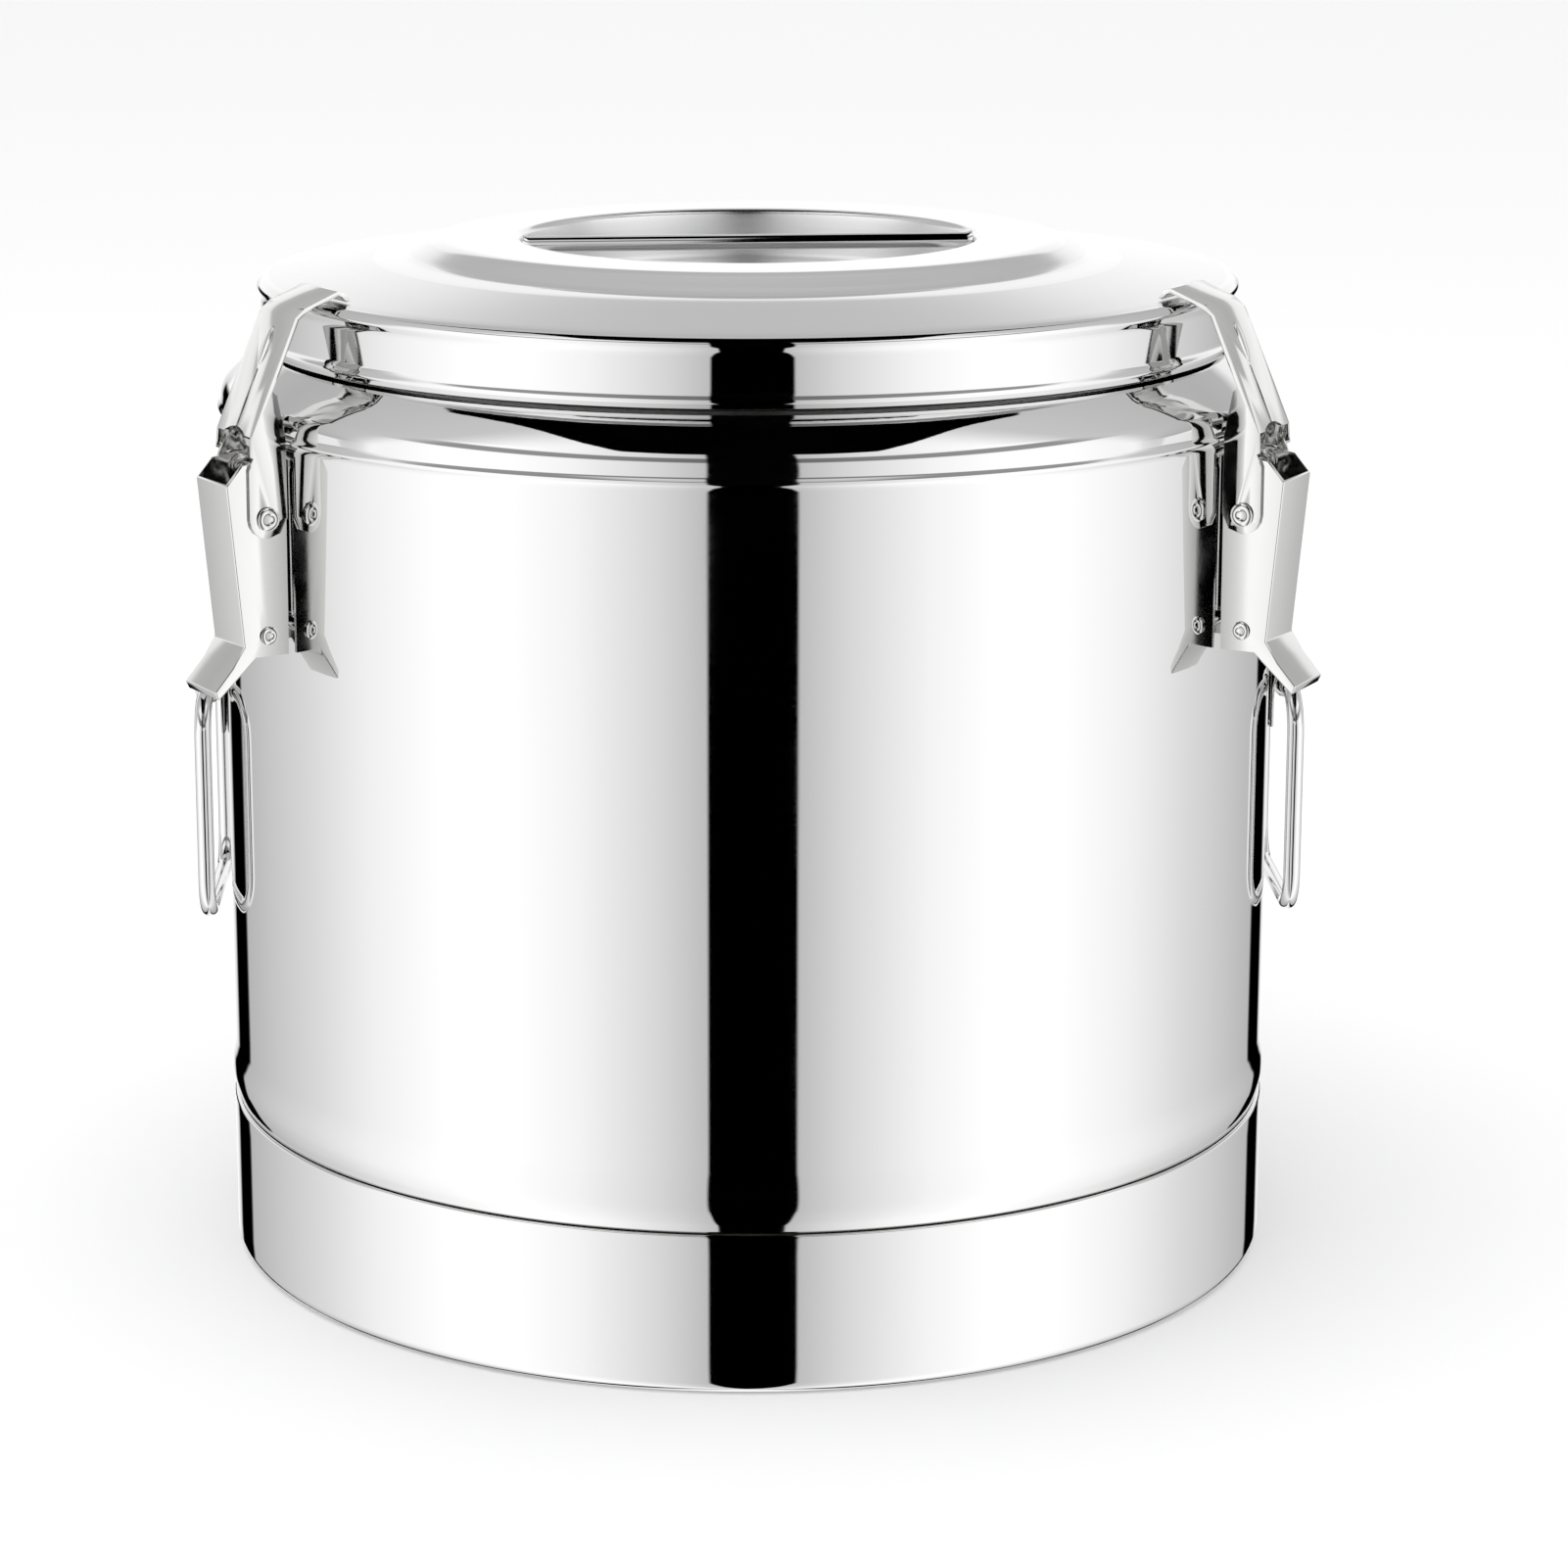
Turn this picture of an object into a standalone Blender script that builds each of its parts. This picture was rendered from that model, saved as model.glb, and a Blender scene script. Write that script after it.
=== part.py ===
"""Insulated stainless-steel milk barrel with a clamp-down lid.

The barrel stands on Z = 0, centred on the Z axis. The front faces -Y. Three
toggle latches stand 120 degrees apart and hold the lid; two wire ring handles
hang at the sides (+X and -X). All lengths are in metres.
"""
from math import atan2, cos, pi, radians, sin, sqrt

import bmesh
import bpy
from mathutils import Vector

# ---------------------------------------------------------------- dimensions
MM = 0.001
SEGMENTS = 48                      # facets round the turned shells
GAP = 0.3 * MM                     # running gap between neighbouring pieces

BODY_R = 189.3 * MM                # outside of the cylindrical wall
FOOT_R = 190.0 * MM                # outside of the foot ring
FOOT_H = 56.0 * MM                 # top edge of the foot ring
SHEET = 1.0 * MM                   # sheet of the shells
SHOULDER_Z = 311.5 * MM            # where the wall turns in to the neck
NECK_R = 168.0 * MM                # outside of the neck under the lid
NECK_TOP = 343.0 * MM
FLOOR_R = 180.7 * MM               # edge of the closing floor, inside the foot ring

POT_R = 163.0 * MM                 # outside of the inner pot
POT_FLOOR = 30.0 * MM              # underside of the inner pot

LID_R = 174.0 * MM                 # outside of the lid's skirt
LID_RIM_R = 175.4 * MM             # outside of the lid's top rim
LID_SKIRT_Z = 331.0 * MM           # bottom edge of the skirt
LID_RIM_Z = 353.4 * MM
LID_TOP = 367.0 * MM               # flat top of the lid
PLUG_R = 158.0 * MM                # the plug that closes the pot's mouth
PLUG_Z = 328.0 * MM                # underside of the plug
DISH_R = 82.7 * MM                 # grip recess in the lid
DISH_FLOOR = 343.0 * MM
GRIP_WIRE_R = 2.8 * MM
GRIP_TURN = radians(3.5)           # how the lid happens to be turned

LATCH_ANGLES = {"right": radians(-30), "rear": radians(90), "left": radians(210)}
LATCH_BASE_R = BODY_R + GAP        # back face of a latch bracket
LEVER_PIVOT = (195.5 * MM, 299.0 * MM)   # radius and height of the lever's pin
HOOK_PIVOT = (197.9 * MM, 284.3 * MM)    # the pin that joins hook and lever
CROSS_PIN = (197.8 * MM, 244.0 * MM)     # stiffening pin low in the lever
LEVER_HALF = 12.0 * MM             # half the lever's width over its flanges
LATCH_SHEET = 1.2 * MM
PIN_R = 2.0 * MM
PIN_HOLE_R = PIN_R + 0.2 * MM

RING_ANGLES = {"right": 0.0, "left": pi}
RING_AXIS = (195.2 * MM, 205.0 * MM)     # radius and height of the ring's bar
RING_WIRE_R = 3.0 * MM
RING_HALF_WIDTH = 42.0 * MM
RING_DROP = 78.0 * MM
RING_CORNER = 14.0 * MM
CLIP_HALF = 16.0 * MM              # half the width of a ring's clip


# ------------------------------------------------------------------ materials
def principled(name, colour, roughness, metallic):
    """A plain Principled material."""
    material = bpy.data.materials.new(name)
    material.use_nodes = True
    shader = material.node_tree.nodes["Principled BSDF"]
    shader.inputs["Base Color"].default_value = (*colour, 1.0)
    shader.inputs["Roughness"].default_value = roughness
    shader.inputs["Metallic"].default_value = metallic
    return material


# -------------------------------------------------------------------- helpers
def finish(name, bm, material, parent=None, location=(0.0, 0.0, 0.0), smooth=True):
    """Turn a bmesh into one named object with its own material."""
    bmesh.ops.remove_doubles(bm, verts=bm.verts, dist=0.000001)
    bmesh.ops.recalc_face_normals(bm, faces=bm.faces)
    mesh = bpy.data.meshes.new(name)
    bm.to_mesh(mesh)
    bm.free()
    if smooth:
        mesh.shade_smooth()
        mesh.set_sharp_from_angle(angle=radians(30))
    mesh.materials.append(material)
    piece = bpy.data.objects.new(name, mesh)
    piece.location = location
    piece.parent = parent
    bpy.context.scene.collection.objects.link(piece)
    return piece


def turn(bm, outline):
    """Spin a closed outline of (radius, height) points once round the Z axis."""
    ring = [bm.verts.new((radius, 0.0, height)) for radius, height in outline]
    edges = [bm.edges.new((ring[i - 1], ring[i])) for i in range(len(ring))]
    bmesh.ops.spin(
        bm, geom=ring + edges, cent=(0, 0, 0), axis=(0, 0, 1),
        angle=2 * pi, steps=SEGMENTS, use_merge=True)
    axis_verts = [v for v in bm.verts if v.co.xy.length < 0.00001]
    bmesh.ops.remove_doubles(bm, verts=axis_verts, dist=0.00001)


def wall(path, thickness):
    """Closed outline of a sheet: the path, and the path moved to its right."""
    points = [Vector(point) for point in path]
    normals = []
    for start, end in zip(points, points[1:]):
        along = (end - start).normalized()
        normals.append(Vector((along.y, -along.x)))
    inner = []
    for i, point in enumerate(points):
        before = normals[max(i - 1, 0)]
        after = normals[min(i, len(normals) - 1)]
        mitre = (before + after).normalized()
        inner.append(point + mitre * thickness / mitre.dot(after))
    return [tuple(p) for p in points] + [tuple(p) for p in reversed(inner)]


def extrude_outline(bm, outline, low, high):
    """Stand a (radius, height) outline in the XZ plane and extrude it along Y."""
    verts = [bm.verts.new((x, low, z)) for x, z in outline]
    face = bm.faces.new(verts)
    made = bmesh.ops.extrude_face_region(bm, geom=[face])
    moved = [item for item in made["geom"] if isinstance(item, bmesh.types.BMVert)]
    bmesh.ops.translate(bm, verts=moved, vec=(0, high - low, 0))


def rod(bm, centre, radius, low, high, sides=12):
    """A round bar along Y, at a (radius, height) centre."""
    outline = [
        (centre[0] + radius * cos(2 * pi * i / sides), centre[1] + radius * sin(2 * pi * i / sides))
        for i in range(sides)]
    extrude_outline(bm, outline, low, high)


def arc(centre, radius, start, end, steps):
    """Points on an arc in the (radius, height) plane, angles in degrees."""
    return [
        (centre[0] + radius * cos(radians(start + (end - start) * i / steps)),
         centre[1] + radius * sin(radians(start + (end - start) * i / steps)))
        for i in range(steps + 1)]


def shifted(points, origin):
    """Points measured from an origin."""
    return [(x - origin[0], z - origin[1]) for x, z in points]


def cut(piece, name, shapes):
    """Cut closed shapes out of a piece; each shape is (outline, low, high)."""
    for i, (outline, low, high) in enumerate(shapes):
        bm = bmesh.new()
        extrude_outline(bm, outline, low, high)
        cutter = finish(f"{name}_cutter_{i}", bm, piece.data.materials[0], piece.parent, piece.location, False)
        cutter.hide_render = True
        cutter.display_type = "WIRE"
        modifier = piece.modifiers.new(f"cut {i}", "BOOLEAN")
        modifier.operation = "DIFFERENCE"
        modifier.solver = "EXACT"
        modifier.object = cutter


def hole(centre, radius, half, sides=12):
    """The shape that drills a hole along Y."""
    return arc(centre, radius, 0, 360 - 360 / sides, sides - 1), -half, half


def azimuth_frame(name, angle):
    """An empty that turns the local X axis to point outwards at an angle."""
    frame = bpy.data.objects.new(name, None)
    frame.rotation_euler = (0.0, 0.0, angle)
    bpy.context.scene.collection.objects.link(frame)
    return frame


# --------------------------------------------------------------------- barrel
def make_outer_shell(steel):
    """Wall with a swaged bead low down, a shoulder and a neck."""
    path = [
        (BODY_R - 1.5 * MM, FOOT_H + GAP),
        (BODY_R + 1.2 * MM, FOOT_H + 8.0 * MM),
        (BODY_R, FOOT_H + 17.0 * MM),
        (BODY_R, SHOULDER_Z - 1.5 * MM),
        (BODY_R - 1.5 * MM, SHOULDER_Z + 1.0 * MM),
        (BODY_R - 7.0 * MM, SHOULDER_Z + 10.0 * MM),
        (NECK_R + 3.0 * MM, SHOULDER_Z + 18.0 * MM),
        (NECK_R, SHOULDER_Z + 20.0 * MM),
        (NECK_R, NECK_TOP - SHEET - GAP)]
    bm = bmesh.new()
    turn(bm, wall(path, -SHEET))
    return finish("outer_shell", bm, steel)


def make_base_ring(steel):
    """Foot ring: a plain band with its edges turned in."""
    path = [
        (FLOOR_R + GAP, 0.0),
        (FOOT_R - 2.5 * MM, 0.0),
        (FOOT_R, 2.5 * MM),
        (FOOT_R, FOOT_H - 1.0 * MM),
        (FOOT_R - 2.0 * MM, FOOT_H)]
    bm = bmesh.new()
    turn(bm, wall(path, -SHEET))
    return finish("base_ring", bm, steel)


def make_base_floor(steel):
    """Flat closing floor, level with the foot ring's turned-in lip."""
    bm = bmesh.new()
    turn(bm, wall([(0.0, 0.0), (FLOOR_R, 0.0)], -SHEET))
    return finish("base_floor", bm, steel)


def make_inner_pot(steel):
    """The pot that holds the milk; its flange closes the neck."""
    path = [
        (0.0, POT_FLOOR),
        (POT_R - 22.0 * MM, POT_FLOOR),
        (POT_R - 6.0 * MM, POT_FLOOR + 7.0 * MM),
        (POT_R, POT_FLOOR + 22.0 * MM),
        (POT_R, NECK_TOP - SHEET),
        (NECK_R + 0.3 * MM, NECK_TOP - SHEET)]
    bm = bmesh.new()
    turn(bm, wall(path, -SHEET))
    return finish("inner_pot", bm, steel)


def make_insulation(foam):
    """Foam between the outer shell and the pot, filled from below."""
    outer = BODY_R - SHEET - 0.8 * MM
    inner = POT_R + 0.5 * MM
    low = SHEET + 0.6 * MM
    outline = [
        (0.0, low),
        (outer - 4.0 * MM, low),
        (outer - 4.0 * MM, FOOT_H + 14.0 * MM),
        (outer, FOOT_H + 20.0 * MM),
        (outer, SHOULDER_Z - 6.0 * MM),
        (inner + 1.5 * MM, SHOULDER_Z + 16.0 * MM),
        (inner, SHOULDER_Z + 16.0 * MM),
        (inner, POT_FLOOR + 20.0 * MM),
        (POT_R - 5.0 * MM, POT_FLOOR + 5.5 * MM),
        (POT_R - 20.0 * MM, POT_FLOOR - 0.6 * MM),
        (0.0, POT_FLOOR - 0.6 * MM)]
    bm = bmesh.new()
    turn(bm, outline)
    return finish("insulation", bm, foam)


# ------------------------------------------------------------------------ lid
def make_lid_shell(steel):
    """Stepped lid top with a grip recess, a rim and a beaded skirt."""
    path = [
        (0.0, DISH_FLOOR),
        (DISH_R - 10.0 * MM, DISH_FLOOR),
        (DISH_R - 3.5 * MM, DISH_FLOOR + 5.0 * MM),
        (DISH_R - 1.5 * MM, LID_TOP - 2.0 * MM),
        (DISH_R + 1.0 * MM, LID_TOP),
        (111.0 * MM, LID_TOP),
        (121.0 * MM, 361.3 * MM),
        (131.5 * MM, 360.3 * MM),
        (LID_RIM_R - 2.5 * MM, LID_RIM_Z + 0.6 * MM),
        (LID_RIM_R, LID_RIM_Z - 1.6 * MM),
        (LID_R, LID_RIM_Z - 5.0 * MM),
        (LID_R, LID_SKIRT_Z + 4.5 * MM),
        (LID_R + 1.2 * MM, LID_SKIRT_Z + 2.2 * MM),
        (LID_R, LID_SKIRT_Z)]
    bm = bmesh.new()
    turn(bm, wall(path, SHEET))
    return finish("lid_shell", bm, steel)


def make_lid_liner(steel):
    """Inner pan of the lid: a seat over the neck and a plug in the mouth."""
    path = [
        (0.0, PLUG_Z),
        (PLUG_R - 4.0 * MM, PLUG_Z),
        (PLUG_R, PLUG_Z + 4.0 * MM),
        (PLUG_R, NECK_TOP + 3.4 * MM),
        (LID_R - 2.4 * MM, NECK_TOP + 3.4 * MM),
        (LID_R - 2.4 * MM, LID_SKIRT_Z + 5.0 * MM)]
    bm = bmesh.new()
    turn(bm, wall(path, -0.8 * MM))
    return finish("lid_liner", bm, steel)


def make_lid_foam(foam):
    """Foam between the lid's shell and its liner, round the grip recess."""
    low = NECK_TOP + 4.8 * MM
    edge = PLUG_R - 1.6 * MM
    floor = PLUG_Z + 1.4 * MM
    outline = [
        (0.0, floor),
        (edge - 3.0 * MM, floor),
        (edge, floor + 3.0 * MM),
        (edge, low),
        (edge + 12.0 * MM, low),
        (edge + 12.0 * MM, low + 3.6 * MM),
        (131.0 * MM, 358.4 * MM),
        (120.3 * MM, 359.2 * MM),
        (110.5 * MM, 365.2 * MM),
        (DISH_R + 3.5 * MM, 365.2 * MM),
        (DISH_R - 0.5 * MM, DISH_FLOOR + 3.0 * MM),
        (DISH_R - 9.0 * MM, DISH_FLOOR - 1.8 * MM),
        (0.0, DISH_FLOOR - 1.8 * MM)]
    bm = bmesh.new()
    turn(bm, outline)
    return finish("lid_foam", bm, foam)


def make_lid_gasket(rubber):
    """Silicone ring between the neck and the lid's seat."""
    inside = PLUG_R + 1.2 * MM
    outside = NECK_R + 1.8 * MM
    outline = [
        (inside, NECK_TOP + GAP),
        (outside, NECK_TOP + GAP),
        (outside, NECK_TOP + 3.0 * MM),
        (inside, NECK_TOP + 3.0 * MM)]
    bm = bmesh.new()
    turn(bm, outline)
    return finish("lid_gasket", bm, rubber)


def make_grip_bar(steel):
    """Round bar across the recess, level with the lid's top."""
    half = DISH_R - 2.1 * MM
    bm = bmesh.new()
    rod(bm, (0.0, LID_TOP - GRIP_WIRE_R), GRIP_WIRE_R, -half, half, 16)
    bar = finish("lid_grip_bar", bm, steel)
    bar.rotation_euler = (0.0, 0.0, GRIP_TURN + pi / 2)
    return bar


# -------------------------------------------------------------------- latches
def make_latch_base(side, frame, steel):
    """U-shaped bracket welded to the wall; its ears carry the lever's pin."""
    half = LEVER_HALF - LATCH_SHEET - 0.4 * MM
    back = LATCH_BASE_R + 1.5 * MM
    ear = LEVER_PIVOT
    outline = [(LATCH_BASE_R, 250.0 * MM), (back + 1.6 * MM, 250.0 * MM), (back + 3.0 * MM, 256.0 * MM)]
    outline += [(back + 3.0 * MM, 289.0 * MM), (ear[0] + 4.2 * MM, 295.0 * MM)]
    outline += arc(ear, 4.6 * MM, -10, 120, 5)
    outline += [(LATCH_BASE_R, 304.0 * MM)]
    bm = bmesh.new()
    extrude_outline(bm, outline, -half, half)
    base = finish(f"latch_base_{side}", bm, steel, frame)
    inside = half - 1.5 * MM
    channel = [(back, 240.0 * MM), (210.0 * MM, 240.0 * MM), (210.0 * MM, 310.0 * MM), (back, 310.0 * MM)]
    cut(base, f"latch_base_{side}", [(channel, -inside, inside), hole(ear, PIN_HOLE_R, half * 2)])
    return base


def make_latch_lever(side, frame, steel):
    """Channel-shaped lever with a finger tab, hung on the bracket's pin."""
    pivot = LEVER_PIVOT
    inner = LATCH_BASE_R + 0.9 * MM
    outline = [(inner, 237.0 * MM), (203.0 * MM, 237.0 * MM), (206.0 * MM, 233.5 * MM), (211.5 * MM, 228.5 * MM)]
    outline += [(217.0 * MM, 223.5 * MM), (218.4 * MM, 226.4 * MM), (211.6 * MM, 234.0 * MM)]
    outline += [(207.0 * MM, 241.0 * MM), (212.2 * MM, 296.4 * MM), (206.5 * MM, 302.8 * MM)]
    outline += arc(pivot, 5.3 * MM, 75, 180, 5)
    bm = bmesh.new()
    extrude_outline(bm, shifted(outline, pivot), -LEVER_HALF, LEVER_HALF)
    lever = finish(f"latch_lever_{side}", bm, steel, frame, (pivot[0], 0.0, pivot[1]))
    cavity = [(180.0 * MM, 200.0 * MM), (204.8 * MM, 222.0 * MM), (204.8 * MM, 233.0 * MM)]
    cavity += [(205.8 * MM, 241.0 * MM), (211.0 * MM, 296.2 * MM)]
    cavity += [(215.0 * MM, 300.0 * MM), (215.0 * MM, 330.0 * MM), (180.0 * MM, 330.0 * MM)]
    inside = LEVER_HALF - LATCH_SHEET
    shapes = [(shifted(cavity, pivot), -inside, inside)]
    for centre in (LEVER_PIVOT, HOOK_PIVOT, CROSS_PIN):
        local = (centre[0] - pivot[0], centre[1] - pivot[1])
        shapes.append(hole(local, PIN_HOLE_R, LEVER_HALF * 2))
    cut(lever, f"latch_lever_{side}", shapes)
    return lever


def make_latch_hook(side, frame, steel):
    """Hook plate with a turned-down lip and two arms down to the lever."""
    pivot = HOOK_PIVOT
    sheet = 1.5 * MM
    top = [(203.2 * MM, 312.5 * MM), (186.0 * MM, 351.5 * MM), (182.5 * MM, 354.5 * MM)]
    top += [(170.0 * MM, 359.4 * MM), (167.4 * MM, 359.0 * MM), (165.4 * MM, 355.9 * MM)]
    under = [(166.8 * MM, 355.6 * MM), (168.4 * MM, 357.4 * MM), (169.8 * MM, 357.9 * MM)]
    under += [(181.8 * MM, 353.1 * MM), (184.6 * MM, 350.8 * MM), (194.9 * MM, 327.4 * MM)]
    arm = [(193.4 * MM, 326.0 * MM), (190.6 * MM, 311.0 * MM), (190.6 * MM, 284.3 * MM)]
    arm += [(193.0 * MM, 279.3 * MM)]
    outline = top + under + arm + arc(pivot, 6.6 * MM, -90, 0, 4) + [(204.4 * MM, 301.0 * MM)]
    half = LEVER_HALF + 0.4 * MM + LATCH_SHEET
    bm = bmesh.new()
    extrude_outline(bm, shifted(outline, pivot), -half, half)
    hook = finish(f"latch_hook_{side}", bm, steel, frame, (pivot[0], 0.0, pivot[1]))
    cavity = [(215.0 * MM, 312.4 * MM), (215.0 * MM, 260.0 * MM), (180.0 * MM, 260.0 * MM)]
    cavity += [(180.0 * MM, 327.4 * MM), (203.2 * MM - sheet - 6.7 * MM, 327.4 * MM)]
    cavity += [(203.2 * MM - sheet, 312.4 * MM)]
    inside = half - LATCH_SHEET
    shapes = [(shifted(cavity, pivot), -inside, inside), hole((0.0, 0.0), PIN_HOLE_R, half * 2)]
    cut(hook, f"latch_hook_{side}", shapes)
    return hook


def make_pin(name, centre, half, head_r, head, frame, steel):
    """Riveted pin along Y; its heads stand outside what it joins."""
    bm = bmesh.new()
    profile = [(0.0, -half - head), (head_r * 0.7, -half - head), (head_r, -half - head * 0.45), (head_r, -half)]
    profile += [(PIN_R, -half), (PIN_R, half), (head_r, half), (head_r, half + head * 0.45)]
    profile += [(head_r * 0.7, half + head), (0.0, half + head)]
    verts = [bm.verts.new((radius, 0.0, height)) for radius, height in profile]
    edges = [bm.edges.new((verts[i - 1], verts[i])) for i in range(1, len(verts))]
    bmesh.ops.spin(
        bm, geom=verts + edges, cent=(0, 0, 0), axis=(0, 0, 1), angle=2 * pi, steps=12, use_merge=True)
    axis_verts = [v for v in bm.verts if v.co.xy.length < 0.00001]
    bmesh.ops.remove_doubles(bm, verts=axis_verts, dist=0.00001)
    pin = finish(name, bm, steel, frame, (centre[0], 0.0, centre[1]))
    pin.rotation_euler = (pi / 2, 0.0, 0.0)
    return pin


def make_latch(side, angle, steel):
    """One complete toggle latch."""
    frame = azimuth_frame(f"latch_frame_{side}", angle)
    make_latch_base(side, frame, steel)
    make_latch_lever(side, frame, steel)
    make_latch_hook(side, frame, steel)
    bm = bmesh.new()
    rod(bm, (0.0, 0.0), PIN_R, -LEVER_HALF + 0.1 * MM, LEVER_HALF - 0.1 * MM)
    finish(f"lever_pin_{side}", bm, steel, frame, (LEVER_PIVOT[0], 0.0, LEVER_PIVOT[1]))
    arm_face = LEVER_HALF + 0.4 * MM + LATCH_SHEET + GAP
    make_pin(f"hook_pin_{side}", HOOK_PIVOT, arm_face, 4.0 * MM, 1.2 * MM, frame, steel)
    make_pin(f"cross_pin_{side}", CROSS_PIN, LEVER_HALF + GAP, 3.2 * MM, 0.9 * MM, frame, steel)


# --------------------------------------------------------------- ring handles
def make_ring_clip(side, frame, steel):
    """Welded clip: a back plate with a sleeve round the ring's top bar."""
    back = BODY_R + GAP
    front = back + 1.4 * MM
    sleeve = 5.0 * MM
    reach = sqrt(sleeve ** 2 - (RING_AXIS[0] - front) ** 2)
    start = -180 + atan2(reach, RING_AXIS[0] - front) * 180 / pi
    outline = [(back, 189.0 * MM), (front, 189.0 * MM)]
    outline += arc(RING_AXIS, sleeve, start, -start, 10)
    outline += [(front, 214.0 * MM), (back, 214.0 * MM)]
    bm = bmesh.new()
    extrude_outline(bm, outline, -CLIP_HALF, CLIP_HALF)
    clip = finish(f"ring_clip_{side}", bm, steel, frame)
    bore = RING_WIRE_R + 0.5 * MM
    cut(clip, f"ring_clip_{side}", [hole(RING_AXIS, bore, CLIP_HALF * 2, 16)])
    return clip


def make_ring(side, frame, steel):
    """Closed wire ring, hanging from its top bar."""
    corners = [(1, 0), (1, -1), (-1, -1), (-1, 0)]
    points = []
    for i, (across, down) in enumerate(corners):
        centre_y = across * (RING_HALF_WIDTH - RING_CORNER)
        centre_z = -RING_CORNER if down == 0 else RING_CORNER - RING_DROP
        for step in range(5):
            angle = radians(90 - 90 * i - 90 * step / 4)
            points.append((centre_y + RING_CORNER * cos(angle), centre_z + RING_CORNER * sin(angle)))
    curve = bpy.data.curves.new(f"carry_ring_{side}", "CURVE")
    curve.dimensions = "3D"
    curve.bevel_depth = RING_WIRE_R
    curve.bevel_resolution = 2
    spline = curve.splines.new("POLY")
    spline.points.add(len(points) - 1)
    for point, (y, z) in zip(spline.points, points):
        point.co = (0.0, y, z, 1.0)
    spline.use_cyclic_u = True
    curve.materials.append(steel)
    ring = bpy.data.objects.new(f"carry_ring_{side}", curve)
    ring.location = (RING_AXIS[0], 0.0, RING_AXIS[1])
    ring.parent = frame
    bpy.context.scene.collection.objects.link(ring)
    return ring


# ----------------------------------------------------------------------- main
def main():
    """Build the whole barrel."""
    for old in list(bpy.data.objects):
        bpy.data.objects.remove(old, do_unlink=True)
    polished = principled("polished stainless steel", (0.78, 0.78, 0.79), 0.08, 1.0)
    pressed = principled("pressed stainless steel", (0.70, 0.70, 0.71), 0.18, 1.0)
    satin = principled("satin stainless steel", (0.66, 0.66, 0.66), 0.32, 1.0)
    foam = principled("polyurethane foam", (0.86, 0.80, 0.62), 0.9, 0.0)
    rubber = principled("white silicone", (0.86, 0.86, 0.84), 0.5, 0.0)
    make_outer_shell(polished)
    make_base_ring(polished)
    make_base_floor(satin)
    make_inner_pot(satin)
    make_insulation(foam)
    make_lid_shell(polished)
    make_lid_liner(satin)
    make_lid_foam(foam)
    make_lid_gasket(rubber)
    make_grip_bar(polished)
    for side, angle in LATCH_ANGLES.items():
        make_latch(side, angle, pressed)
    for side, angle in RING_ANGLES.items():
        frame = azimuth_frame(f"ring_frame_{side}", angle)
        make_ring_clip(side, frame, pressed)
        make_ring(side, frame, polished)


main()
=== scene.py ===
# %% [markdown]
# # An insulated stainless-steel milk barrel
#
# The barrel is a double-walled pot: a mirror-polished outer wall, a satin pot
# inside it and foam between them. A thick stepped lid sits in its mouth, and
# three toggle latches clamp it down. Two wire rings hang at the sides. This
# lesson makes the fine visible surface of every piece round a measured model,
# then the finishes, the studio and the camera.

# %% Load the measured model
from math import cos, pi, radians, sin

import bmesh
import bpy
from mathutils import Matrix, Vector


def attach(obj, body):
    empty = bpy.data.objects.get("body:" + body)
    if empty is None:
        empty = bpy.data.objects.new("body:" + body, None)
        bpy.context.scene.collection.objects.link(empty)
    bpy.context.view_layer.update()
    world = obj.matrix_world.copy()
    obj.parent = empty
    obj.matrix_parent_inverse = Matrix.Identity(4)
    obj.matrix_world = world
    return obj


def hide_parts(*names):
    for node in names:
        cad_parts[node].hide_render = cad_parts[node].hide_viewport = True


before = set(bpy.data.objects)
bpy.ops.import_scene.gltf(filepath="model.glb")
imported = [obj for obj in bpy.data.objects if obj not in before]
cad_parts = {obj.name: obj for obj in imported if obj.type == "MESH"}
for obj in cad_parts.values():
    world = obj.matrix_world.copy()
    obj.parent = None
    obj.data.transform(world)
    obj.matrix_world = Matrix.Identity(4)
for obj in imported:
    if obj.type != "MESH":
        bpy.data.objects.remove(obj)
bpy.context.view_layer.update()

MM = 0.001
print("pieces in the measured model:", len(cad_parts))

# %% [markdown]
# ## Finishes: one helper for nodes, one for colours
#
# Every finish is a small node tree on the Principled shader. Colours are
# picked as hex values on a screen, so one function turns them into the linear
# values that the shader wants. A second function adds any node, sets it and
# links it, so a tree reads like a list of its steps.

# %% Helpers for finishes
def linear(hex_colour):
    """An sRGB hex colour as linear red, green, blue and alpha."""
    channels = [int(hex_colour[i:i + 2], 16) / 255 for i in (1, 3, 5)]
    return (*[c / 12.92 if c <= 0.04045 else ((c + 0.055) / 1.055) ** 2.4 for c in channels], 1.0)


def add(tree, kind, inputs=None, **settings):
    """Add one node; each input is a plain value or another node's output."""
    made = tree.nodes.new(kind)
    for key, value in settings.items():
        setattr(made, key, value)
    for key, value in (inputs or {}).items():
        if isinstance(value, bpy.types.NodeSocket):
            tree.links.new(value, made.inputs[key])
        else:
            made.inputs[key].default_value = value
    return made


def new_finish(name):
    """An empty material with its shader: (material, tree, shader)."""
    material = bpy.data.materials.new(name)
    material.use_nodes = True
    tree = material.node_tree
    return material, tree, tree.nodes["Principled BSDF"]


print("white on screen is", linear("#FFFFFF"))

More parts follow.
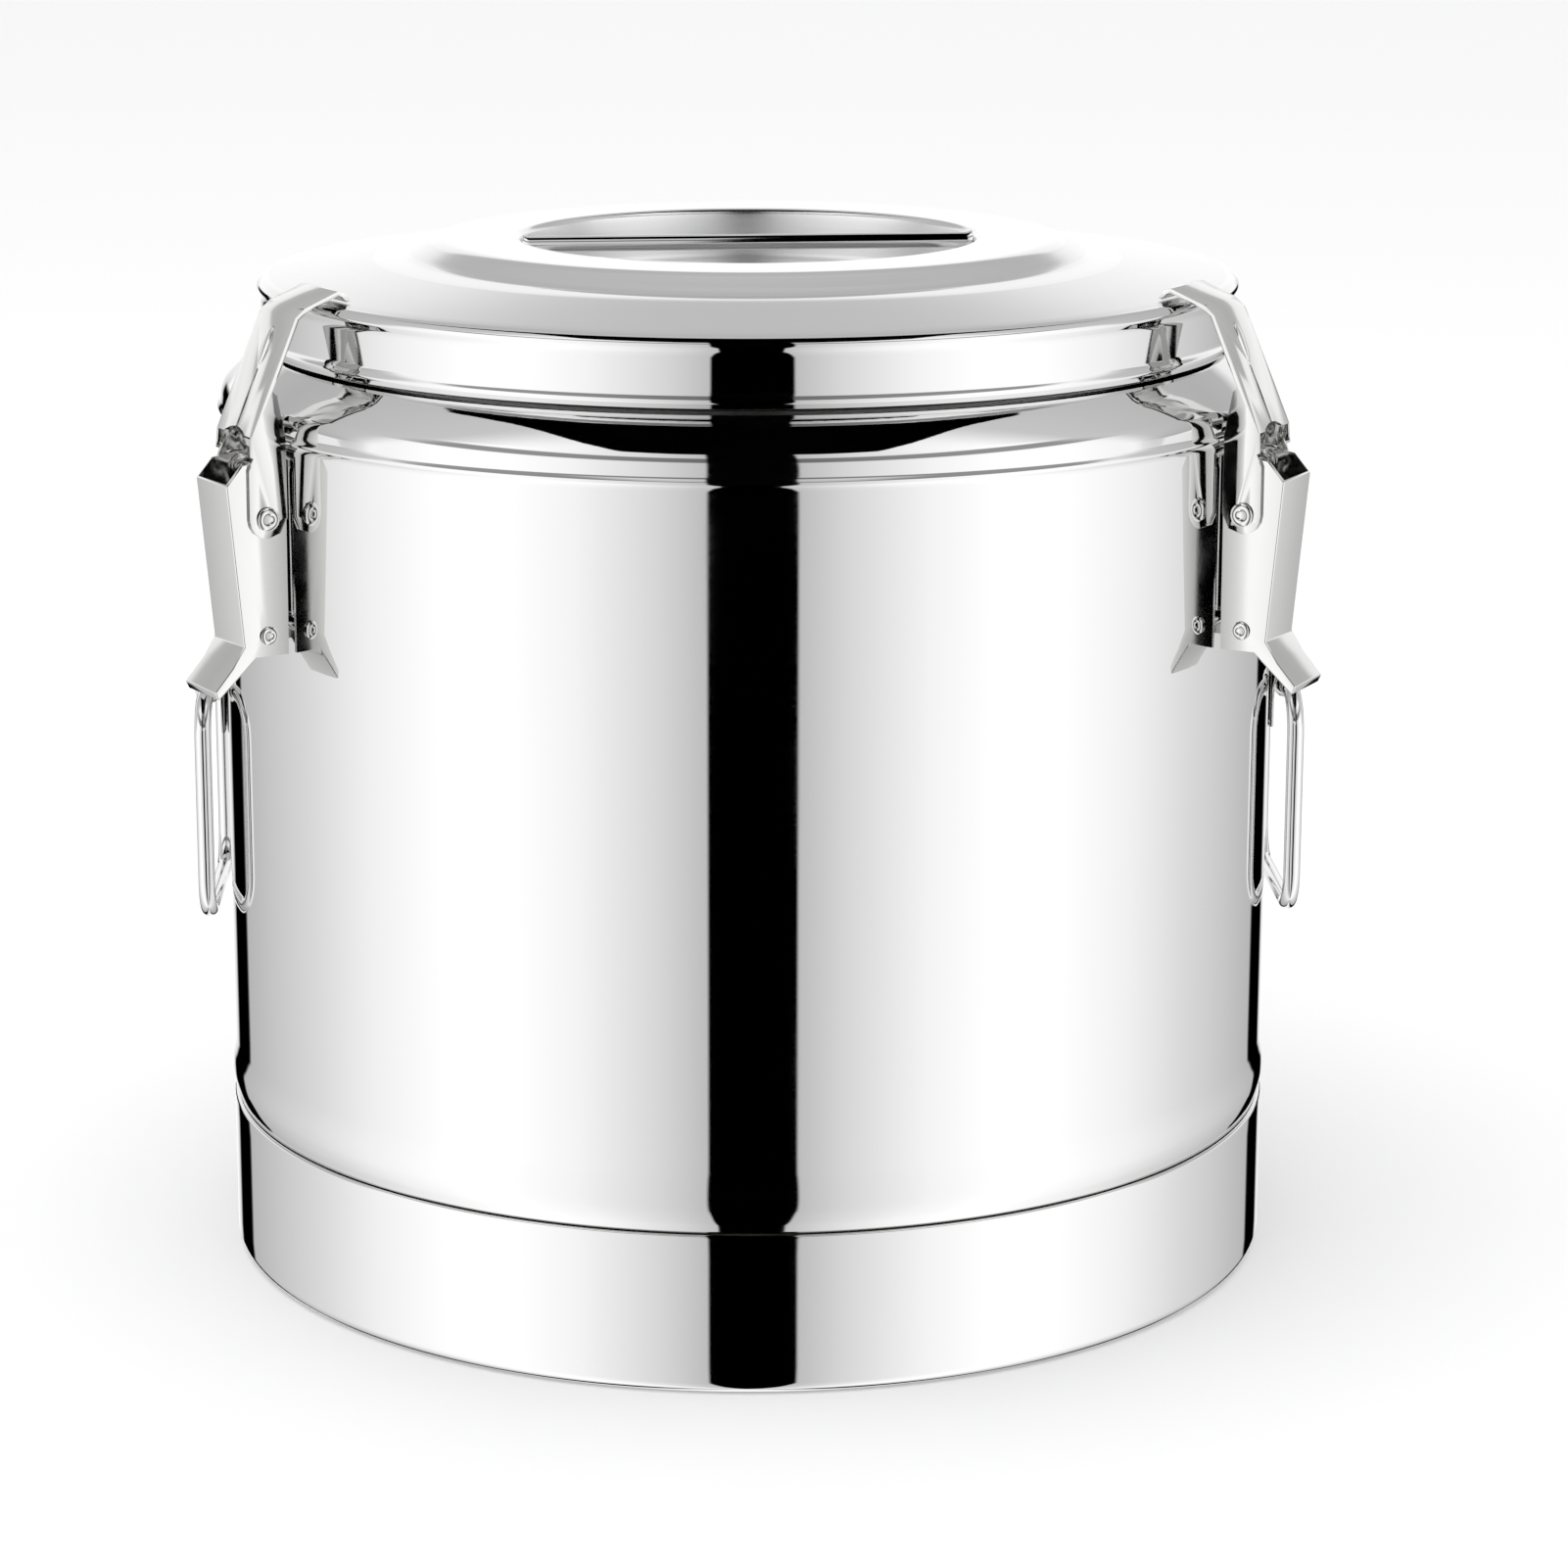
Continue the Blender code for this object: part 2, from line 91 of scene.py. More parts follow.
# %% [markdown]
# ## Finish 1: mirror-polished stainless steel
#
# The wall, the foot ring and the lid are spun on a lathe and buffed until they
# mirror the room. A buffing wheel leaves very fine lines round the turning
# axis. They follow the height on the wall and the radius on the lid, so the
# pattern reads those two numbers and nothing else. Real buffing lines are a
# few hundredths of a millimetre apart, too fine to show, so here they are
# about half a millimetre apart and very weak. A second, broad pattern stands
# for the faint smears that hands leave.
#
# The lid has three satin bands, in the recess, on the sloping step and on the
# field, where the brushing was left under the polish. They follow the radius
# too, so the same function makes them by raising the roughness between two radii.

# %% Polished steel
def turned_coordinate(tree):
    """(radius, 0, height) of a point, which is the same all round a turned piece."""
    place = add(tree, "ShaderNodeTexCoord").outputs["Object"]
    flat = add(tree, "ShaderNodeVectorMath", {0: place, 1: (1.0, 1.0, 0.0)}, operation="MULTIPLY")
    radius = add(tree, "ShaderNodeVectorMath", {0: flat.outputs[0]}, operation="LENGTH")
    height = add(tree, "ShaderNodeSeparateXYZ", {0: place}).outputs["Z"]
    return add(tree, "ShaderNodeCombineXYZ", {"X": radius.outputs["Value"], "Z": height}).outputs[0]


BAND_EDGE = 1.2              # how far a satin band takes to begin, in millimetres


def polished_steel(name, bands=()):
    """Buffed to a mirror, with satin bands: (inner radius, outer radius, roughness), radii in mm."""
    material, tree, shader = new_finish(name)
    shader.inputs["Metallic"].default_value = 1.0
    shader.inputs["Base Color"].default_value = linear("#E6E6E6")
    turned = turned_coordinate(tree)
    lines = add(tree, "ShaderNodeTexNoise", {"Vector": turned, "Scale": 2000.0, "Detail": 2.0})
    place = add(tree, "ShaderNodeTexCoord").outputs["Object"]
    smears = add(tree, "ShaderNodeTexNoise", {"Vector": place, "Scale": 14.0, "Detail": 5.0})
    fine = add(tree, "ShaderNodeMapRange", {
        "Value": lines.outputs["Fac"], "From Min": 0.3, "From Max": 0.7, "To Min": 0.012, "To Max": 0.035})
    broad = add(tree, "ShaderNodeMapRange", {
        "Value": smears.outputs["Fac"], "From Min": 0.5, "From Max": 0.8, "To Min": 0.0, "To Max": 0.03})
    blur = add(tree, "ShaderNodeMath", {0: fine.outputs[0], 1: broad.outputs[0]}, operation="ADD")
    blur = blur.outputs[0]
    radius = add(tree, "ShaderNodeSeparateXYZ", {0: turned}).outputs["X"]
    rings = add(tree, "ShaderNodeMapRange", {
        "Value": lines.outputs["Fac"], "To Min": 0.75, "To Max": 1.25}).outputs[0]
    for inner, outer, roughness in bands:
        within = [add(tree, "ShaderNodeMapRange", {
            "Value": radius, "From Min": edge * MM, "From Max": (edge + side * BAND_EDGE) * MM}).outputs[0]
            for edge, side in ((inner, 1), (outer, -1))]
        band = add(tree, "ShaderNodeMath", {0: within[0], 1: within[1]}, operation="MULTIPLY").outputs[0]
        brushed = add(tree, "ShaderNodeMath", {0: rings, 1: roughness}, operation="MULTIPLY").outputs[0]
        blur = add(tree, "ShaderNodeMix", {0: band, 2: blur, 3: brushed}).outputs[0]
    tree.links.new(blur, shader.inputs["Roughness"])
    bump = add(tree, "ShaderNodeBump", {
        "Height": lines.outputs["Fac"], "Strength": 0.05, "Distance": 0.02 * MM})
    tree.links.new(bump.outputs[0], shader.inputs["Normal"])
    return material


POLISHED = polished_steel("mirror-polished stainless steel")
LID_BANDS = [(-5, 82, 0.34), (112.5, 121.5, 0.17), (132.5, 171.5, 0.17)]
LID_STEEL = polished_steel("polished stainless steel with satin bands", LID_BANDS)
print("made", POLISHED.name, "and", LID_STEEL.name)

# %% [markdown]
# ## Finish 2: pressed stainless steel
#
# The latches and clips are stamped from sheet and tumbled in a drum of
# pebbles, which rounds the burrs and leaves a soft shine with tiny dents. A
# fine noise about 0.6 mm across gives the dents as bump, and a wider one
# varies the blur, so a flat face isn't one even grey.

# %% Pressed steel
def pressed_steel():
    """Tumbled sheet: bright, softly blurred, faintly dented."""
    material, tree, shader = new_finish("tumble-polished pressed stainless steel")
    shader.inputs["Metallic"].default_value = 1.0
    shader.inputs["Base Color"].default_value = linear("#E2E2E1")
    place = add(tree, "ShaderNodeTexCoord").outputs["Object"]
    dents = add(tree, "ShaderNodeTexNoise", {"Vector": place, "Scale": 1600.0, "Detail": 3.0})
    patches = add(tree, "ShaderNodeTexNoise", {"Vector": place, "Scale": 90.0, "Detail": 4.0})
    blur = add(tree, "ShaderNodeMapRange", {
        "Value": patches.outputs["Fac"], "From Min": 0.35, "From Max": 0.7, "To Min": 0.05, "To Max": 0.12})
    tree.links.new(blur.outputs[0], shader.inputs["Roughness"])
    bump = add(tree, "ShaderNodeBump", {
        "Height": dents.outputs["Fac"], "Strength": 0.12, "Distance": 0.03 * MM})
    tree.links.new(bump.outputs[0], shader.inputs["Normal"])
    return material


PRESSED = pressed_steel()
print("made", PRESSED.name)

# %% [markdown]
# ## Finish 3: satin stainless steel
#
# The pot, the pan under the lid and the closing floor are brushed with an
# abrasive pad while they turn. The rings are about 0.8 mm apart and stronger
# than buffing lines, and they blur what they reflect.

# %% Satin steel
def satin_steel():
    """Brushed in rings: grey, soft highlights."""
    material, tree, shader = new_finish("satin-brushed stainless steel")
    shader.inputs["Metallic"].default_value = 1.0
    turned = turned_coordinate(tree)
    rings = add(tree, "ShaderNodeTexNoise", {"Vector": turned, "Scale": 1250.0, "Detail": 4.0})
    tone = add(tree, "ShaderNodeMix", {
        0: rings.outputs["Fac"], 6: linear("#C4C4C2"), 7: linear("#D6D6D4")}, data_type="RGBA")
    tree.links.new(tone.outputs[2], shader.inputs["Base Color"])
    blur = add(tree, "ShaderNodeMapRange", {"Value": rings.outputs["Fac"], "To Min": 0.22, "To Max": 0.42})
    tree.links.new(blur.outputs[0], shader.inputs["Roughness"])
    bump = add(tree, "ShaderNodeBump", {
        "Height": rings.outputs["Fac"], "Strength": 0.3, "Distance": 0.03 * MM})
    tree.links.new(bump.outputs[0], shader.inputs["Normal"])
    return material


SATIN = satin_steel()
print("made", SATIN.name)

# %% [markdown]
# ## Finish 4: foam and silicone
#
# The insulation is polyurethane foam poured in place: cream, dull, with cells
# about 1.5 mm across where it is cut. The lid's seal is white food-grade
# silicone, moulded, a little translucent, with a soft satin skin.

# %% Foam and silicone
def foam_finish():
    """Poured foam: cream, matt, full of small cells."""
    material, tree, shader = new_finish("rigid polyurethane foam")
    place = add(tree, "ShaderNodeTexCoord").outputs["Object"]
    cells = add(tree, "ShaderNodeTexVoronoi", {"Vector": place, "Scale": 650.0})
    tone = add(tree, "ShaderNodeMix", {
        0: cells.outputs["Distance"], 6: linear("#D9C99A"), 7: linear("#F0E6C4")}, data_type="RGBA")
    tree.links.new(tone.outputs[2], shader.inputs["Base Color"])
    shader.inputs["Roughness"].default_value = 0.9
    bump = add(tree, "ShaderNodeBump", {
        "Height": cells.outputs["Distance"], "Strength": 0.6, "Distance": 0.4 * MM})
    tree.links.new(bump.outputs[0], shader.inputs["Normal"])
    return material


def silicone_finish():
    """Moulded white silicone with a faint grain."""
    material, tree, shader = new_finish("moulded white silicone")
    shader.inputs["Base Color"].default_value = linear("#EEEDE8")
    shader.inputs["Subsurface Weight"].default_value = 0.15
    shader.inputs["Subsurface Scale"].default_value = 1.5 * MM
    place = add(tree, "ShaderNodeTexCoord").outputs["Object"]
    grain = add(tree, "ShaderNodeTexNoise", {"Vector": place, "Scale": 900.0, "Detail": 3.0})
    blur = add(tree, "ShaderNodeMapRange", {"Value": grain.outputs["Fac"], "To Min": 0.4, "To Max": 0.6})
    tree.links.new(blur.outputs[0], shader.inputs["Roughness"])
    bump = add(tree, "ShaderNodeBump", {
        "Height": grain.outputs["Fac"], "Strength": 0.1, "Distance": 0.05 * MM})
    tree.links.new(bump.outputs[0], shader.inputs["Normal"])
    return material


FOAM = foam_finish()
SILICONE = silicone_finish()
for node in ("insulation", "lid_foam"):
    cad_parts[node].data.materials.clear()
    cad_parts[node].data.materials.append(FOAM)
print("made", FOAM.name, "and", SILICONE.name)

# %% [markdown]
# ## How a piece is finished
#
# Each piece ends the same way: its doubles are merged, it becomes a smooth
# mesh whose real corners stay sharp, it gets its finish, it is told which
# moving body it rides on, and the measured piece it stands for is hidden.

# %% Finish a piece
SHARP_ANGLE = 35             # folds sharper than this stay crisp, in degrees


def finish_piece(name, bm, material, body, node):
    """Turn a bmesh into a finished piece that rides on a body."""
    bmesh.ops.remove_doubles(bm, verts=bm.verts, dist=0.001 * MM)
    mesh = bpy.data.meshes.new(name)
    bm.to_mesh(mesh)
    bm.free()
    mesh.shade_smooth()
    mesh.set_sharp_from_angle(angle=radians(SHARP_ANGLE))
    mesh.materials.append(material)
    piece = bpy.data.objects.new(name, mesh)
    bpy.context.scene.collection.objects.link(piece)
    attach(piece, body)
    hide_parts(node)
    low, high = (Vector(v) for v in (piece.bound_box[0], piece.bound_box[6]))
    print(f"{name}: {len(mesh.polygons)} faces, {[round(x / MM, 1) for x in high - low]} mm")
    return piece


# %% [markdown]
# ## Turned sheets
#
# Everything round on the barrel is sheet metal pressed or rolled to a profile
# and is the same all the way round. It could be made with a Screw modifier on
# a curve, but a drawn wire in bmesh lets each corner have its own rounding:
# the vertex bevel rounds the bends first, long straight runs are divided so
# that the mirror shading stays true on them, spin carries the wire round the
# axis, and solidify gives the sheet its thickness.

# %% Turn a sheet
ROUND = 192                  # steps round the barrel, fine enough for a mirror


def bent_wire(bm, corners, closed=False):
    """A wire through (radius, height, rounding) corners, in millimetres."""
    verts = [bm.verts.new((r * MM, 0.0, z * MM)) for r, z, _ in corners]
    for start, end in zip(verts, verts[1:] + (verts[:1] if closed else [])):
        bm.edges.new((start, end))
    for vert, (_, _, rounding) in zip(verts, corners):
        if rounding:
            bmesh.ops.bevel(
                bm, geom=[vert], offset=rounding * MM, segments=8, profile=0.5,
                affect="VERTICES", material=-1)
    for edge in [e for e in bm.edges if e.calc_length() > 9 * MM]:
        bmesh.ops.subdivide_edges(bm, edges=[edge], cuts=int(edge.calc_length() / (6 * MM)))


def turn(bm):
    """Carry the wire once round the Z axis and close it."""
    bmesh.ops.spin(
        bm, geom=bm.verts[:] + bm.edges[:], cent=(0, 0, 0), axis=(0, 0, 1),
        angle=2 * pi, steps=ROUND, use_merge=True)
    bmesh.ops.remove_doubles(bm, verts=bm.verts, dist=0.002 * MM)
    bmesh.ops.recalc_face_normals(bm, faces=bm.faces)


def turned_sheet(name, corners, thickness, material, body, node):
    """Sheet metal turned to a profile; thickness goes inwards from it."""
    bm = bmesh.new()
    bent_wire(bm, corners)
    turn(bm)
    bmesh.ops.solidify(bm, geom=bm.faces[:], thickness=thickness * MM)
    bmesh.ops.recalc_face_normals(bm, faces=bm.faces)
    return finish_piece(name, bm, material, body, node)


# %% [markdown]
# ## The outer wall
#
# The wall is a rolled cylinder. A swaged bead low down stiffens it above the
# foot ring, a fine raised line marks where the shoulder is seamed on, and the
# shoulder rolls in to the narrower neck that the lid sits over. Every bend is
# rounded, because a mirror shows a sharp fold as a hard line.

# %% Outer wall
turned_sheet("outer_wall", [
    (188.6, 56.5, 0), (190.4, 62.0, 2.6), (190.6, 67.0, 2.6), (189.3, 74.0, 3.4),
    (189.3, 307.4, 0.9), (190.2, 309.2, 0.7), (189.0, 311.2, 0.7),
    (188.2, 316.6, 2.4), (182.8, 322.8, 5.6), (171.2, 331.2, 1.8), (168.0, 333.2, 1.2), (168.0, 341.6, 0)],
    1.0, POLISHED, "barrel", "outer_shell")

# %% [markdown]
# ## Foot ring and closing floor
#
# The barrel stands on a separate band with rolled edges, welded round the
# bottom. Its top edge leaves a thin shadow line against the wall. The floor
# that closes the foam is a flat disc inside the band's turned-in lip.

# %% Foot ring and floor
turned_sheet("foot_ring", [
    (181.2, 0.0, 0), (187.6, 0.0, 1.2), (190.0, 2.6, 1.5), (190.0, 55.4, 0.4), (189.5, 56.0, 0.3),
    (187.4, 56.2, 0)],
    1.0, POLISHED, "barrel", "base_ring")
turned_sheet(
    "closing_floor", [(0.0, 0.0, 0), (180.8, 0.0, 0)],
    -1.0, SATIN, "barrel", "base_floor")

# %% [markdown]
# ## The pot
#
# The pot holds the milk. It is deep-drawn, with a wide radius at the bottom
# so that it can be washed out, and a flange that closes the neck.

# %% Pot
turned_sheet("milk_pot", [
    (0.0, 30.0, 0), (141.0, 30.0, 6.0), (157.0, 37.0, 7.0), (163.0, 52.0, 6.0), (163.0, 342.0, 1.5),
    (168.3, 342.0, 0)],
    -1.0, SATIN, "barrel", "inner_pot")

# %% [markdown]
# ## The lid
#
# The lid is pressed from one sheet: a recess for the grip, a flat crown, a
# sloping step, a narrow shelf, a gently sloping field, a rolled rim and a
# skirt with a beaded edge. Under it a pan carries the plug that fills the
# pot's mouth, and a silicone ring seals the two on the neck.

# %% Lid
turned_sheet("lid_top", [
    (0.0, 343.0, 0), (72.7, 343.0, 4.0), (79.0, 347.5, 3.5), (81.2, 366.9, 2.2), (111.0, 367.0, 3.2),
    (121.0, 361.3, 3.2), (131.5, 360.3, 2.6), (173.0, 354.1, 1.1), (175.4, 351.9, 1.2), (174.0, 348.6, 1.0),
    (174.0, 335.7, 1.1), (175.3, 333.3, 0.9), (174.0, 331.0, 0)],
    1.0, LID_STEEL, "lid", "lid_shell")
turned_sheet("lid_pan", [
    (0.0, 328.0, 0), (154.0, 328.0, 2.4), (158.0, 332.0, 2.4), (158.0, 346.4, 1.4), (171.6, 346.4, 1.4),
    (171.6, 336.0, 0)],
    -0.8, SATIN, "lid", "lid_liner")

# %% Lid seal
seal = bmesh.new()
bent_wire(
    seal, [(159.2, 343.4, 0.9), (169.6, 343.4, 0.9), (169.6, 346.0, 0.9), (159.2, 346.0, 0.9)],
    closed=True)
turn(seal)
finish_piece("lid_seal", seal, SILICONE, "lid", "lid_gasket")

# %% [markdown]
# ## The grip bar
#
# The lid is lifted by a round bar across the recess. It is a plain rod whose
# ends flare where they are welded to the recess wall. One wire, spun about
# its own axis, makes the rod and both flares. The lid happens to stand a few
# degrees round, so the bar is turned by that much.

# %% Grip bar
def turned_bar(profile, steps=32):
    """A bar along X from (radius, distance) points, in millimetres."""
    bm = bmesh.new()
    verts = [bm.verts.new((x * MM, 0.0, r * MM)) for r, x in profile]
    for start, end in zip(verts, verts[1:]):
        bm.edges.new((start, end))
    bmesh.ops.spin(
        bm, geom=bm.verts[:] + bm.edges[:], cent=(0, 0, 0), axis=(1, 0, 0),
        angle=2 * pi, steps=steps, use_merge=True)
    bmesh.ops.remove_doubles(bm, verts=bm.verts, dist=0.002 * MM)
    bmesh.ops.recalc_face_normals(bm, faces=bm.faces)
    return bm


bar_half = [(2.8, 0.0), (2.8, 78.0), (2.9, 79.0), (3.2, 80.0), (3.5, 80.5), (0.0, 80.5)]
bar = turned_bar([(r, -x) for r, x in reversed(bar_half)] + bar_half[1:])
bar.transform(Matrix.Rotation(radians(3.5), 4, "Z") @ Matrix.Translation((0, 0, 364.2 * MM)))
finish_piece("grip_bar", bar, POLISHED, "lid", "lid_grip_bar")

# %% [markdown]
# ## The toggle latches
#
# A toggle latch is a lever hung on a bracket, and a hook pinned to the lever
# a little lower down. Swinging the lever down pulls the hook over the lid's
# rim. All three are stamped from sheet and folded, so their flat blanks have
# crisp holes and their folds have a radius. The measured solids already have
# the right outlines, so each one is copied, its loose triangles are merged
# into whole faces, and the edges are beveled: wide along the folds, narrow
# along the cut edges.

# %% Copy and soften a measured solid
def local_copy(node, angle):
    """A measured solid merged into whole faces, turned back so that +X points out of the barrel."""
    bm = bmesh.new()
    bm.from_mesh(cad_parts[node].data)
    bmesh.ops.remove_doubles(bm, verts=bm.verts, dist=0.002 * MM)
    bmesh.ops.transform(bm, matrix=Matrix.Rotation(-angle, 4, "Z"), verts=bm.verts)
    bmesh.ops.dissolve_limit(bm, angle_limit=radians(0.5), verts=bm.verts, edges=bm.edges)
    return bm


def soften(bm, width, steps, chosen=lambda edge: True):
    """Bevel the chosen sharp edges."""
    sharp = [e for e in bm.edges if e.is_manifold and e.calc_face_angle() > radians(28) and chosen(e)]
    bmesh.ops.bevel(
        bm, geom=sharp, offset=width * MM, segments=steps, profile=0.5, affect="EDGES",
        material=-1, clamp_overlap=True)
    return len(sharp)


# %% [markdown]
# The hook's plate has a slit up its lower half, a scalloped lower edge and a
# small pressed rib near the bend. The slit and the scallop are cut with
# Booleans, which leave a clean outline on a thin sheet, and the rib is a
# flattened ball that stands half out of the plate.

# %% Cut a latch hook
def cut_with(bm, cutter):
    """The first mesh with the second one taken out of it."""
    solids = []
    for number, part in enumerate((bm, cutter)):
        mesh = bpy.data.meshes.new(f"blank_{number}")
        part.to_mesh(mesh)
        part.free()
        solids.append(bpy.data.objects.new(mesh.name, mesh))
        bpy.context.scene.collection.objects.link(solids[-1])
    boolean = solids[0].modifiers.new("cut", "BOOLEAN")
    boolean.operation, boolean.solver, boolean.object = "DIFFERENCE", "EXACT", solids[1]
    result = bmesh.new()
    result.from_object(solids[0], bpy.context.evaluated_depsgraph_get())
    for solid in solids:
        bpy.data.objects.remove(solid, do_unlink=True)
    return result


PLATE_LOW = Vector((203.2, 0.0, 312.5)) * MM      # lower edge of the hook's plate
PLATE_HIGH = Vector((186.0, 0.0, 351.5)) * MM     # where it bends over the rim
plate_up = (PLATE_HIGH - PLATE_LOW).normalized()
plate_out = Vector((plate_up.z, 0.0, -plate_up.x))


def on_plate(distance):
    """Matrix of a point on the hook's plate: Z runs up the plate, X out of it."""
    place = PLATE_LOW + plate_up * distance * MM
    return Matrix.Translation(place) @ Matrix((plate_out, Vector((0, 1, 0)), plate_up)).transposed().to_4x4()


def hook_blank(node, angle):
    """The hook with its slit and scallop cut."""
    slit = bmesh.new()
    slit_size = Matrix.Diagonal((6 * MM, 1.1 * MM, 25 * MM, 1))
    bmesh.ops.create_cube(slit, size=1.0, matrix=on_plate(10.5) @ slit_size)
    bm = cut_with(local_copy(node, angle), slit)
    scallop = bmesh.new()
    bmesh.ops.create_cone(
        scallop, cap_ends=True, segments=40, radius1=15 * MM, radius2=15 * MM, depth=7 * MM,
        matrix=on_plate(-12.6) @ Matrix.Rotation(pi / 2, 4, "Y"))
    return cut_with(bm, scallop)


print("the hook's plate is", round((PLATE_HIGH - PLATE_LOW).length / MM, 1), "mm long")

# %% Latches
LATCHES = {"right": radians(-30), "rear": radians(90), "left": radians(210)}


def rivet(half, head_r, head, centre, angle):
    """A rivet with dimpled heads, along Y through a (radius, height) centre."""
    side = [
        (2.0, 0.0), (2.0, half), (head_r, half), (head_r, half + head * 0.4),
        (head_r * 0.86, half + head * 0.85), (head_r * 0.62, half + head),
        (head_r * 0.42, half + head * 0.8), (head_r * 0.3, half + head * 0.35),
        (0.0, half + head * 0.3)]
    bm = turned_bar([(r, -x) for r, x in reversed(side)] + side[1:], 28)
    place = Matrix.Translation((centre[0] * MM, 0, centre[1] * MM)) @ Matrix.Rotation(pi / 2, 4, "Z")
    bm.transform(Matrix.Rotation(angle, 4, "Z") @ place)
    return bm


def lever_fold(edge):
    """True on the folds between the lever's face and its flanges."""
    return all(abs(v.co.y) > 11.9 * MM and v.co.x > 205.5 * MM for v in edge.verts)


for side, angle in LATCHES.items():
    back = Matrix.Rotation(angle, 4, "Z")
    bracket = local_copy(f"latch_base_{side}", angle)
    soften(bracket, 0.3, 2)
    lever = local_copy(f"latch_lever_{side}", angle)
    soften(lever, 1.3, 5, lever_fold)
    hook = hook_blank(f"latch_hook_{side}", angle)
    soften(hook, 0.25, 2)
    rib = Matrix.Diagonal((1.0 * MM, 2.4 * MM, 7.0 * MM, 1))
    bmesh.ops.create_uvsphere(hook, u_segments=24, v_segments=16, radius=1.0, matrix=on_plate(31.5) @ rib)
    for bm, name, body in (
            (bracket, "base", "barrel"), (lever, "lever", f"lever_{side}"), (hook, "hook", f"hook_{side}")):
        bm.transform(back)
        finish_piece(f"toggle_{name}_{side}", bm, PRESSED, body, f"latch_{name}_{side}")
    hinge_pin = turned_bar([(0, -11.9), (1.6, -11.9), (2, -11.5), (2, 11.5), (1.6, 11.9), (0, 11.9)], 28)
    pin_place = Matrix.Translation((195.5 * MM, 0, 299 * MM))
    hinge_pin.transform(back @ pin_place @ Matrix.Rotation(pi / 2, 4, "Z"))
    finish_piece(f"toggle_pin_{side}", hinge_pin, PRESSED, "barrel", f"lever_pin_{side}")
    upper = rivet(13.9, 4.0, 1.2, (197.9, 284.3), angle)
    finish_piece(f"upper_rivet_{side}", upper, PRESSED, f"lever_{side}", f"hook_pin_{side}")
    lower = rivet(12.3, 3.2, 0.9, (197.8, 244.0), angle)
    finish_piece(f"lower_rivet_{side}", lower, PRESSED, f"lever_{side}", f"cross_pin_{side}")

# %% [markdown]
# ## The ring handles
#
# Each handle is a length of 6 mm wire bent into a rounded rectangle and butt
# welded. It hangs in a folded clip on the wall. A bevelled curve would do, but
# bmesh shows the bending itself: a circle is extruded along each straight and
# spun a quarter turn at each corner, and the ends meet where they began.

# %% Ring handles
def wire_ring():
    """A closed ring in the YZ plane, its top bar's centre at the origin."""
    half, drop, corner = 42.0 * MM, 78.0 * MM, 14.0 * MM
    bm = bmesh.new()
    start = Matrix.Translation((0, corner - half, 0)) @ Matrix.Rotation(pi / 2, 4, "X")
    made = bmesh.ops.create_circle(bm, segments=24, radius=3.0 * MM, matrix=start)
    front = list({edge for vert in made["verts"] for edge in vert.link_edges})
    ahead, centre_side = Vector((0, 1, 0)), Vector((0, 0, -1))
    place = Vector((0, corner - half, 0))
    for length in (2 * half - 2 * corner, drop - 2 * corner) * 2:
        parts = bmesh.ops.extrude_edge_only(bm, edges=front)["geom"]
        verts = [item for item in parts if isinstance(item, bmesh.types.BMVert)]
        bmesh.ops.translate(bm, verts=verts, vec=ahead * length)
        place = place + ahead * length
        ends = verts + [e for e in parts if isinstance(e, bmesh.types.BMEdge)]
        bent = bmesh.ops.spin(
            bm, geom=ends, cent=place + centre_side * corner, axis=(1, 0, 0), angle=-pi / 2, steps=12)
        front = [item for item in bent["geom_last"] if isinstance(item, bmesh.types.BMEdge)]
        place = place + (ahead + centre_side) * corner
        ahead, centre_side = centre_side, -ahead
    bmesh.ops.remove_doubles(bm, verts=bm.verts, dist=0.01 * MM)
    bmesh.ops.recalc_face_normals(bm, faces=bm.faces)
    return bm


for side, angle in {"right": 0.0, "left": pi}.items():
    ring = wire_ring()
    ring.transform(Matrix.Rotation(angle, 4, "Z") @ Matrix.Translation((195.2 * MM, 0, 205 * MM)))
    finish_piece(
        f"carry_handle_{side}", ring, POLISHED, f"ring_{side}", f"carry_ring_{side}")
    clip = local_copy(f"ring_clip_{side}", angle)
    soften(clip, 0.3, 2)
    clip.transform(Matrix.Rotation(angle, 4, "Z"))
    finish_piece(f"handle_clip_{side}", clip, PRESSED, "barrel", f"ring_clip_{side}")

# %% [markdown]
# ## The studio
#
# Polished steel shows nothing but its surroundings, so the surroundings are
# the real lighting job. The barrel stands in a white tent: brightest to the
# left and right of the front, dimmer behind. A tall black strip at the front
# draws the dark line down the barrel, black cards towards the back sharpen
# the outline, a black flag hangs overhead, and a dim gap runs round between
# the tent's walls and its roof. Here the tent is the world: its brightness
# depends only on the direction. The floor is plain and pale, and the steel is
# kept from mirroring it.

# %% Tent helpers
world = bpy.data.worlds.new("white tent")
bpy.context.scene.world = world
world.use_nodes = True
tent = world.node_tree
tent.nodes.clear()
direction = add(tent, "ShaderNodeSeparateXYZ", {0: add(tent, "ShaderNodeTexCoord").outputs["Generated"]})
towards = add(tent, "ShaderNodeMath", {0: direction.outputs["Y"], 1: -1.0}, operation="MULTIPLY").outputs[0]
across, upwards = direction.outputs["X"], direction.outputs["Z"]


def compute(operation, first, second=0.0):
    """One step of arithmetic in the world's tree."""
    return add(tent, "ShaderNodeMath", {0: first, 1: second}, operation=operation).outputs[0]


def fade(value, low, high):
    """0 below low, 1 above high, smooth between."""
    return add(tent, "ShaderNodeMapRange", {
        "Value": value, "From Min": low, "From Max": high}, interpolation_type="SMOOTHSTEP").outputs[0]


